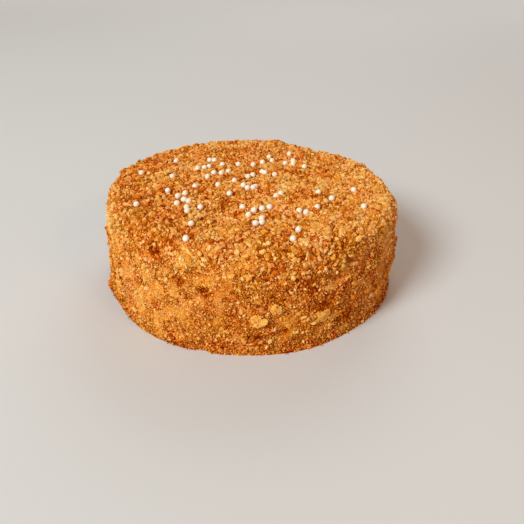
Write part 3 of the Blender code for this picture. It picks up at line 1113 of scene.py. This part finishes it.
@dataclass
class CrumbCoat:
    """The coat itself: one closed surface over the whole cake, with the relief of packed crumbs."""

    form: CakeForm
    relief: CoatRelief
    bake: BakeField
    finish: CoatFinish = CoatFinish()
    top_rings: int = 104
    wall_rows: int = 66
    # The coat's middle level is dark, so that its red-brown paints the shade in the gaps between the crumbs.
    shaded_gap_level: float = 0.6
    level_spread: float = 0.17
    smear_pale: float = 0.36
    top_map: Triple = (0.28, 0.71, 0.275)
    base_map: Triple = (0.79, 0.7, 0.18)
    band_margin: float = 0.01
    band_length: float = 0.98
    band_step: float = 0.21
    band_height: float = 0.195

    def top_grid(self) -> tuple[Array, Array, Array]:
        """The grid of the top: a square of cells bent into a disc.

        The ring of a corner is the larger of its two distances from the middle row and column. Its angle
        runs evenly along each side of its ring.

        Returns:
            Azimuths, reaches over the top's reach, and the quads' corners.
        """
        rings = self.top_rings
        side = 2 * rings + 1
        column, row = np.meshgrid(np.arange(-rings, rings + 1), np.arange(-rings, rings + 1))
        ring = np.maximum(np.abs(column), np.abs(row))
        safe = np.maximum(ring, 1)
        across = np.abs(column) >= np.abs(row)
        turn = np.where(across, 90.0 * np.sign(column) - 45.0 * row / safe * np.sign(column),
                        np.where(row > 0, 45.0 * column / safe, 180.0 - 45.0 * column / safe))
        index = np.arange(side * side).reshape(side, side)
        quads = np.stack([index[:-1, :-1], index[:-1, 1:], index[1:, 1:], index[1:, :-1]], axis=-1)
        # The azimuth grows the other way round from the usual angle, so the quads wind the other way too.
        return turn.ravel(), ring.ravel() / rings, quads.reshape(-1, 4)[:, ::-1]

    def build(self) -> bpy.types.Object:
        """Builds the coat: the top's grid, the wall's rows below its rim, and a fan for the flat base.

        Returns:
            The coat's object.
        """
        around = 8 * self.top_rings
        top_turn, top_share, top_quads = self.top_grid()
        wall_start = float(self.form.reach_at_height(self.form.height - self.form.shoulder_rounding / 2))
        rim = np.nonzero(top_share == 1.0)[0]
        rim = rim[np.argsort(top_turn[rim] % 360.0)]
        wall_reach = np.linspace(wall_start, self.form.foot, self.wall_rows + 1)[1:]
        wall_turn = np.sort(top_turn[rim] % 360.0)
        azimuth = np.concatenate([top_turn, np.tile(wall_turn, self.wall_rows)])
        reach = np.concatenate([top_share * wall_start, np.repeat(wall_reach, around)])
        plain, _ = self.form.skin(azimuth, reach)
        points, _ = self.form.skin(azimuth, reach, self.relief.lift(plain, reach))
        below = len(top_turn) + np.arange(self.wall_rows * around).reshape(-1, around)
        rows = np.concatenate([rim[None], below])
        after = np.roll(rows, -1, axis=1)
        wall = np.stack([rows[:-1], rows[1:], after[1:], after[:-1]], axis=-1).reshape(-1, 4)
        points = np.concatenate([points, [[0.0, 0.0, 0.0]]])
        fan = np.stack([rows[-1], np.full(around, len(points) - 1), after[-1]], axis=-1)
        faces = [top_quads, wall, fan]
        level = self.level_spread * self.bake.level(azimuth, reach, plain)
        level -= self.smear_pale * self.bake.smear(azimuth, reach, plain)
        level = self.shaded_gap_level + np.append(level, 0.0)
        piece = make_piece("crumb_coat", points, faces, self.finish.material(),
                           self.layout(top_quads, wall, fan, top_turn, top_share), smooth=True)
        attribute = piece.data.attributes.new(LEVEL_ATTRIBUTE, "FLOAT", "POINT")
        attribute.data.foreach_set("value", level.astype(np.float32))
        return piece

    def layout(self, top_quads: Array, wall: Array, fan: Array, turn: Array, share: Array) -> Array:
        """The bake map: the top as a disc, the wall as two long bands, the base as a smaller disc.

        Args:
            top_quads: The quads of the top.
            wall: The quads of the wall.
            fan: The triangles of the base.
            turn: Azimuths of the top's corners.
            share: Their reaches over the top's reach.

        Returns:
            One row for each face corner.
        """
        around = len(fan)
        half = around // 2
        row, column = np.divmod(np.arange(len(wall)), around)
        band, along = np.divmod(column, half)
        corner_along = np.stack([along, along, along + 1, along + 1], axis=-1)
        corner_down = np.stack([row, row + 1, row + 1, row], axis=-1)
        band_start = self.band_margin + self.band_step * band[:, None]
        wall_uv = np.stack([self.band_margin + self.band_length * corner_along / half,
                            band_start + self.band_height * corner_down / self.wall_rows], axis=-1)
        rim = self.disc(self.base_map, 2 * math.pi * np.arange(around + 1) / around, 1.0)
        middle = np.broadcast_to(self.base_map[:2], (around, 2))
        parts = [self.disc(self.top_map, np.radians(turn), share)[top_quads], wall_uv,
                 np.stack([rim[:-1], middle, rim[1:]], axis=1)]
        return np.concatenate([part.reshape(-1, 2) for part in parts])

    @staticmethod
    def disc(place: Triple, angle: Array, share: Array | float) -> Array:
        """Places on a disc of the bake map.

        Args:
            place: The disc's middle and its radius.
            angle: Which way from the middle.
            share: How far out, from 0 to 1.

        Returns:
            A place on the map for each.
        """
        across, up, radius = place
        out = radius * share
        return np.stack([across + out * np.sin(angle), up + out * np.cos(angle)], axis=-1)


def palette_uv(levels: Array, variety: Array, faces_each: int) -> Array:
    """Gives each crumb its own small cell in the palette map, darker crumbs further across.

    The crumbs are ranked by level and cut into columns, and ranked by variety up each column. All the faces
    of a crumb take the same small triangle inside its cell.

    Args:
        levels: How darkly each crumb is baked.
        variety: A second number that sorts crumbs of one level.
        faces_each: How many triangles a crumb has.

    Returns:
        One row for each face corner.
    """
    count = len(levels)
    side = math.ceil(math.sqrt(count))
    rank = np.empty(count, int)
    rank[np.argsort(levels)] = np.arange(count)
    column = rank // side
    order = np.lexsort((variety, column))
    row = np.empty(count, int)
    row[order] = np.arange(count) - column[order] * side
    cell = np.stack([column, row], axis=-1) / side
    low, high = PALETTE_CELL
    triangle = np.array([[low, low], [high, low], [low, high]]) / side
    return np.repeat(cell[:, None, None] + triangle[None, None], faces_each, axis=1).reshape(-1, 2)


@dataclass
class LooseCrumbs:
    """Fine loose crumbs over the whole coat, 0.7 to 3.2 mm long: ragged chips, in kinds by their baking.

    Each kind is how it is baked, its part in the sharing out of the crumbs, and its colours from the paler
    to the darker.
    """

    form: CakeForm
    toppings: Toppings
    relief: CoatRelief
    bake: BakeField
    name: str = "fine_crumbs"
    word: str = "crumb"
    kinds: Kinds = (
        (Bake.PALE, 0.12, ("fbcc80", "fac676", "f9be6a")),
        (Bake.GOLDEN, 0.28, ("f9be6a", "f7b55c", "f5ac4e")),
        (Bake.AMBER, 0.28, ("f5ac4e", "f0a03c", "ea902c")),
        (Bake.TOASTED, 0.19, ("ea902c", "e07c1c", "d0640a")),
        (Bake.DARK, 0.13, ("d05e0a", "ac3f02", "742100")),
    )
    mottle: Pair = (0.86, 1.1)
    count: int = 83000
    middle_length: float = 1.28
    length_spread: float = 0.37
    lengths: Pair = (0.7, 3.2)
    flatness: Pair = (0.55, 0.95)
    raggedness: Pair = (0.65, 1.35)
    ball: tuple[int, int] = (3, 2)
    bed: Pair = (-0.65, 0.5)
    smear_bed: float = 0.0
    smear_hold: float = 0.5
    smear_calm: float = 0.45
    smear_pale: float = 0.4
    variety: float = 0.35
    pearl_gap: float = 0.2
    bare_chance: float = 0.3
    bare_lift: float = 0.6
    least_radius: float = 1.0
    least_reach: float = 0.1
    foot_margin: float = 0.3
    foot_spill: float = 1.6
    spill_height: float = 2.0
    floor_gap: float = 0.05
    seed: int = 101

    def places(self, random: Random) -> tuple[Array, Array]:
        """Even places over the skin, each wandered by up to the spacing between them.

        Args:
            random: The source of the wander.

        Returns:
            Azimuths and reaches.
        """
        azimuth, reach = self.form.spiral(self.count, self.foot_margin)
        spacing = math.sqrt(2 * math.pi * self.form.area[-1] / self.count)
        wander = random.uniform(-spacing, spacing, (2, self.count))
        azimuth = azimuth + np.degrees(wander[0] / np.maximum(self.form.radius_at(reach), self.least_radius))
        return azimuth, np.clip(reach + wander[1], self.least_reach, self.form.foot - self.foot_margin)

    def kept(self, random: Random, plain: Array, centres: Array) -> Array:
        """Which crumbs stay: those clear of the pearls, and a few of those that lie on a bare piece.

        Args:
            random: The source of the chances.
            plain: The crumbs' places on the plain skin.
            centres: The crumbs' middles.

        Returns:
            True for each crumb that stays.
        """
        gaps = distances(centres, self.toppings.pearls).min(axis=1)
        on_bare = self.toppings.over(plain, self.toppings.bare) > 0.0
        chance = np.where(on_bare, self.bare_chance, 1.0)
        clear = gaps > self.toppings.pearl_radius + self.pearl_gap
        return clear & (random.uniform(size=self.count) < chance)

    def turns(self, random: Random, normals: Array) -> Array:
        """How each crumb lies: turned any way at all, one 3 by 3 matrix for each."""
        return turns_at_random(random, len(normals))

    def beds(self, random: Random, azimuth: Array, reach: Array, plain: Array,
             smear: Array) -> tuple[Array, Array]:
        """Sets each crumb on the relief, or on a bare piece under it, with a lift of its own.

        Smeared crumbs lie more evenly, and those at the foot spill outwards.

        Args:
            random: The source of the lifts.
            azimuth: Degrees from the front.
            reach: Millimetres down the profile.
            plain: The crumbs' places on the plain skin.
            smear: How far each is smeared.

        Returns:
            The crumbs' middles and the skin's normals there.
        """
        on_bare = self.toppings.over(plain, self.toppings.bare) + self.bare_lift
        relief = np.maximum(self.relief.lift(plain, reach), on_bare)
        bed = random.uniform(*self.bed, self.count)
        bed = bed + smear * (self.smear_bed - bed) * self.smear_hold
        spill = self.foot_spill * np.exp(-plain[:, 2] / self.spill_height)
        bed += spill * random.uniform(size=self.count) ** 2
        return self.form.skin(azimuth, reach, relief + bed)

    def chips(self, random: Random, length: Array, centres: Array,
              normals: Array) -> tuple[Array, Array]:
        """Shapes each crumb: a ball of a few faces, its corners moved in or out, stretched and turned.

        Args:
            random: The source of the shapes.
            length: Each crumb's length.
            centres: The crumbs' middles.
            normals: The skin's normals, one for each crumb.

        Returns:
            The corners of every crumb, and the faces of one.
        """
        corners, faces = ball_grid(*self.ball)
        shape = np.stack([np.ones(self.count), random.uniform(*self.flatness, self.count),
                          random.uniform(*self.flatness, self.count)], axis=-1)
        ragged = random.uniform(*self.raggedness, (self.count, len(corners), 1))
        solid = corners[None] * ragged * (shape * length[:, None] / 2)[:, None]
        points = np.einsum("nki,nij->nkj", solid, self.turns(random, normals)) + centres[:, None]
        points[..., 2] = np.maximum(points[..., 2], self.floor_gap)
        return points, faces

    def build(self) -> list[bpy.types.Object]:
        """Builds one piece for each kind. The crumbs are shared out by how darkly they are baked.

        Returns:
            The pieces, from the palest kind to the darkest.
        """
        random = np.random.default_rng(self.seed)
        azimuth, reach = self.places(random)
        plain, _ = self.form.skin(azimuth, reach)
        length = self.middle_length * np.exp(random.normal(0.0, self.length_spread, self.count))
        smear = self.bake.smear(azimuth, reach, plain)
        centres, normals = self.beds(random, azimuth, reach, plain, smear)
        level = self.bake.level(azimuth, reach, plain) - self.smear_pale * smear
        level += (1.0 - self.smear_calm * smear) * random.normal(size=self.count)
        kept = self.kept(random, plain, centres)
        points, faces = self.chips(random, np.clip(length, *self.lengths), centres, normals)
        variety = lattice_noise(plain, self.bake.zone_cell, self.bake.zone_seed)
        variety += random.uniform(-self.variety, self.variety, self.count)
        shares = np.cumsum([0.0] + [share for _, share, _ in self.kinds])
        edges = np.quantile(level[kept], shares / shares[-1])
        edges[0], edges[-1] = -np.inf, np.inf
        pieces = []
        for (bake, _, colours), low, high in zip(self.kinds, edges[:-1], edges[1:]):
            chosen = kept & (level >= low) & (level < high)
            finish = CrumbFinish(name=f"{bake.making} honey biscuit {self.word}", colours=colours,
                                 mottle=self.mottle)
            pieces.append(make_piece(
                f"{self.name}_{bake.shade}", points[chosen].reshape(-1, 3),
                [repeated_faces(faces, points.shape[1], int(chosen.sum()))], finish.material(),
                palette_uv(level[chosen], variety[chosen], len(faces)),
            ))
        return pieces


@dataclass
class MiddlingCrumbs(LooseCrumbs):
    """The middling crumbs, 2 to 5.6 mm long, strewn among the fine ones: broken chips lying in the coat.

    Most are of the paler kinds, as larger crumbs come from the biscuit's inside, and they are mottled more
    strongly than the finer crumbs, as dust clings to them.
    """

    name: str = "middling_crumbs"
    word: str = "chip"
    kinds: Kinds = (
        (Bake.PALE, 0.25, ("facc82", "f9c678", "f8be6a")),
        (Bake.GOLDEN, 0.45, ("f8be6a", "f4ad50", "ec9a38")),
        (Bake.TOASTED, 0.25, ("ec9a38", "dc7a18", "b54c04")),
    )
    mottle: Pair = (0.7, 1.14)
    count: int = 14000
    middle_length: float = 3.2
    length_spread: float = 0.28
    lengths: Pair = (2.0, 5.6)
    flatness: Pair = (0.42, 0.8)
    raggedness: Pair = (0.72, 1.22)
    ball: tuple[int, int] = (5, 3)
    bed: Pair = (-0.5, 0.7)
    smear_bed: float = 0.1
    bare_chance: float = 0.0
    low_chance: float = 0.14
    low_band: Pair = (52.0, 71.0)
    foot_margin: float = 2.0
    lean: float = 0.5
    seed: int = 202

    def kept(self, random: Random, plain: Array, centres: Array) -> Array:
        """Which chips stay: as for the finer crumbs, with fewer low on the wall, where chips roll off."""
        chance = np.interp(plain[:, 2], self.low_band, (self.low_chance, 1.0))
        return super().kept(random, plain, centres) & (random.uniform(size=self.count) < chance)

    def turns(self, random: Random, normals: Array) -> Array:
        """How each chip lies: its thickness along the skin's normal with a lean, its length any way."""
        return leant_frames(random, normals, self.lean)


@dataclass
class Grit(LooseCrumbs):
    """The finest crumbs, about 1 mm long, that fill the gaps low in the coat, in the middle kinds alone."""

    name: str = "grit"
    word: str = "grit"
    kinds: Kinds = (
        (Bake.GOLDEN, 0.35, ("fbc676", "f8b960", "f4a84a")),
        (Bake.AMBER, 0.35, ("f4a84a", "ee9a38", "e68624")),
        (Bake.TOASTED, 0.3, ("e68624", "d16a10", "a94500")),
    )
    count: int = 51000
    middle_length: float = 1.0
    length_spread: float = 0.2
    lengths: Pair = (0.6, 1.6)
    bed: Pair = (-0.4, 0.3)
    foot_margin: float = 0.2
    seed: int = 303


@dataclass
class SugarPearls:
    """The sugar pearls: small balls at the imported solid's places, each a little out of round."""

    toppings: Toppings
    finish: SugarFinish = SugarFinish()
    sides: int = 20
    rings: int = 10
    out_of_round: float = 0.03
    seed: int = 301

    def build(self) -> bpy.types.Object:
        """Builds the pearls as one piece.

        Returns:
            The pearls' object.
        """
        random = np.random.default_rng(self.seed)
        centres = self.toppings.pearls
        corners, faces = ball_grid(self.sides, self.rings)
        squash = 1.0 + random.uniform(-self.out_of_round, self.out_of_round, (len(centres), 1, 3))
        turned = np.einsum("ki,nij->nkj", corners, turns_at_random(random, len(centres)))
        points = centres[:, None] + self.toppings.pearl_radius * turned * squash
        return make_piece("sugar_pearls", points.reshape(-1, 3),
                          [repeated_faces(faces, len(corners), len(centres))],
                          self.finish.material(), smooth=True)


@dataclass
class BiscuitPieces:
    """The flakes and the bare larger crumbs of biscuit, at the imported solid's places, in broken layers."""

    toppings: Toppings
    finish: BiscuitFinish = BiscuitFinish()
    sides: int = 9
    rings: int = 6
    relief: Layers = ((0.8, 0.4, 401), (0.35, 0.24, 401))
    noise_step: float = 10.0
    body: float = 0.8
    chips: int = 8
    chip_turn: float = 7.0
    chip_reach: float = 0.82
    chip_rise: float = 0.8
    chip_sizes: Pair = (0.4, 0.7)
    chip_thickness: float = 0.4
    chip_lean: float = 0.3
    seed: int = 401

    def build(self) -> bpy.types.Object:
        """Builds each piece as a body with chips lying over it, all of them ragged balls.

        A ball's radius carries noise of two sizes. The body is stretched along, across and up like the
        solid's crumb. A chip is a smaller, thinner copy of the body's stretch, leant, and set on the body's
        upper half at an even golden-angle step.

        Returns:
            The pieces' object.
        """
        random = np.random.default_rng(self.seed)
        bare = self.toppings.bare
        centres, stretches = self.toppings.crumbs[0][bare], self.toppings.crumbs[1][bare]
        order = np.arange(self.chips)
        turn = np.radians(GOLDEN_ANGLE) * order + random.uniform(0.0, self.chip_turn, (len(centres), 1))
        out = np.sqrt((order + 0.5) / self.chips) * self.chip_reach
        up = np.broadcast_to(self.chip_rise * np.sqrt(1.0 - out ** 2), turn.shape)
        place = np.stack([out * np.cos(turn), out * np.sin(turn), up], axis=-1)
        chip_centres = centres[:, None] + place @ stretches
        lean = np.eye(3) + random.uniform(-self.chip_lean, self.chip_lean, (len(centres), self.chips, 3, 3))
        size = random.uniform(*self.chip_sizes, (len(centres), self.chips, 1, 1))
        size = size * np.array([1.0, 1.0, self.chip_thickness])[:, None]
        chip_stretches = size * (lean @ stretches[:, None])
        centres = np.concatenate([centres, chip_centres.reshape(-1, 3)])
        stretches = np.concatenate([stretches * self.body, chip_stretches.reshape(-1, 3, 3)])
        corners, faces = ball_grid(self.sides, self.rings)
        where = corners[None] + self.noise_step * np.arange(len(centres))[:, None, None]
        bulge = layered_noise(where.reshape(-1, 3), self.relief)
        balls = corners[None] * (1.0 + bulge.reshape(len(centres), -1, 1))
        points = centres[:, None] + balls @ stretches
        return make_piece("biscuit_pieces", points.reshape(-1, 3),
                          [repeated_faces(faces, len(corners), len(centres))], self.finish.material())


@dataclass
class Studio:
    """A plain pale floor, soft light from the front left and above, and the photograph's camera.

    A light is its name, its place and its width in metres, its power in watts and its colour.
    """

    floor_half: float = 2.4
    camera_place: Triple = (0.0, -0.37158, 0.23474)
    camera_turn: Triple = (58.1039, -1.5767, -0.3956)
    camera_lens: float = 37.8465
    sensor_width: float = 36.0
    nearest: float = 0.01
    lights: tuple[tuple[str, Triple, float, float, str], ...] = (
        ("key", (-1.66, -1.78, 1.8), 1.1, 78.0, "f6ffff"),
        ("fill", (1.0, -0.9, 1.1), 0.4, 3.2, "ffb87a"),
        ("back", (0.38, 1.95, 1.5), 1.8, 15.8, "ffffff"),
    )
    room_colour: str = "ffe2c0"
    room_light: float = 0.28
    backdrop: str = "cbc6c0"

    def build(self) -> None:
        """Makes the floor, the lights and the camera."""
        half = self.floor_half
        mesh = bpy.data.meshes.new("floor")
        mesh.from_pydata([(-half, -half, 0), (half, -half, 0), (half, half, 0), (-half, half, 0)],
                         [], [(0, 1, 2, 3)])
        mesh.materials.append(FloorFinish().material())
        floor = add_object("floor", mesh)
        for name, place, size, power, colour in self.lights:
            light = bpy.data.lights.new(name, "AREA")
            light.shape = "DISK"
            light.size = size
            light.energy = power
            light.color = linear(colour)[:3]
            lamp = add_object(name, light)
            lamp.location = place
            lamp.rotation_euler = (-lamp.location).to_track_quat("-Z", "Y").to_euler()
        world = bpy.data.worlds.new("soft room light")
        world.use_nodes = True
        tree = world.node_tree
        room = tree.nodes["Background"]
        room.inputs["Color"].default_value = linear(self.room_colour)
        room.inputs["Strength"].default_value = self.room_light
        # Where the floor fades out, the view shows a plain pale backdrop, in place of the dimmer room light.
        backdrop = add_node(tree, "Background", {"Color": linear(self.backdrop)})
        ray = add_node(tree, "LightPath")
        mixed = add_node(tree, "MixShader", {0: ray.outputs["Is Camera Ray"], 1: room.outputs[0],
                                             2: backdrop.outputs[0]})
        tree.links.new(mixed.outputs[0], tree.nodes["World Output"].inputs["Surface"])
        bpy.context.scene.world = world
        bpy.context.scene.view_settings.view_transform = "Standard"
        lens = bpy.data.cameras.new("camera")
        lens.lens = self.camera_lens
        lens.sensor_width = self.sensor_width
        lens.clip_start = self.nearest
        camera = add_object("camera", lens)
        camera.location = self.camera_place
        camera.rotation_euler = [math.radians(angle) for angle in self.camera_turn]
        bpy.context.scene.camera = camera


def main() -> None:
    """Builds the cake's pieces in order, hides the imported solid, and lights the scene."""
    logging.basicConfig(level=logging.INFO, format="%(message)s")
    form = CakeForm()
    toppings = Toppings(form)
    relief = CoatRelief(form, toppings)
    bake = BakeField(form)
    coat = CrumbCoat(form, relief, bake).build()
    pieces = [coat]
    pieces += LooseCrumbs(form, toppings, relief, bake).build()
    pieces += MiddlingCrumbs(form, toppings, relief, bake).build()
    pieces += Grit(form, toppings, relief, bake).build()
    pieces.append(BiscuitPieces(toppings).build())
    pieces.append(SugarPearls(toppings).build())
    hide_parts(CAD_NODE)
    for piece in pieces:
        LOG.info("%s: %d triangles", piece.name, len(piece.data.loops) - 2 * len(piece.data.polygons))
    Studio().build()


if __name__ == "__main__":
    main()
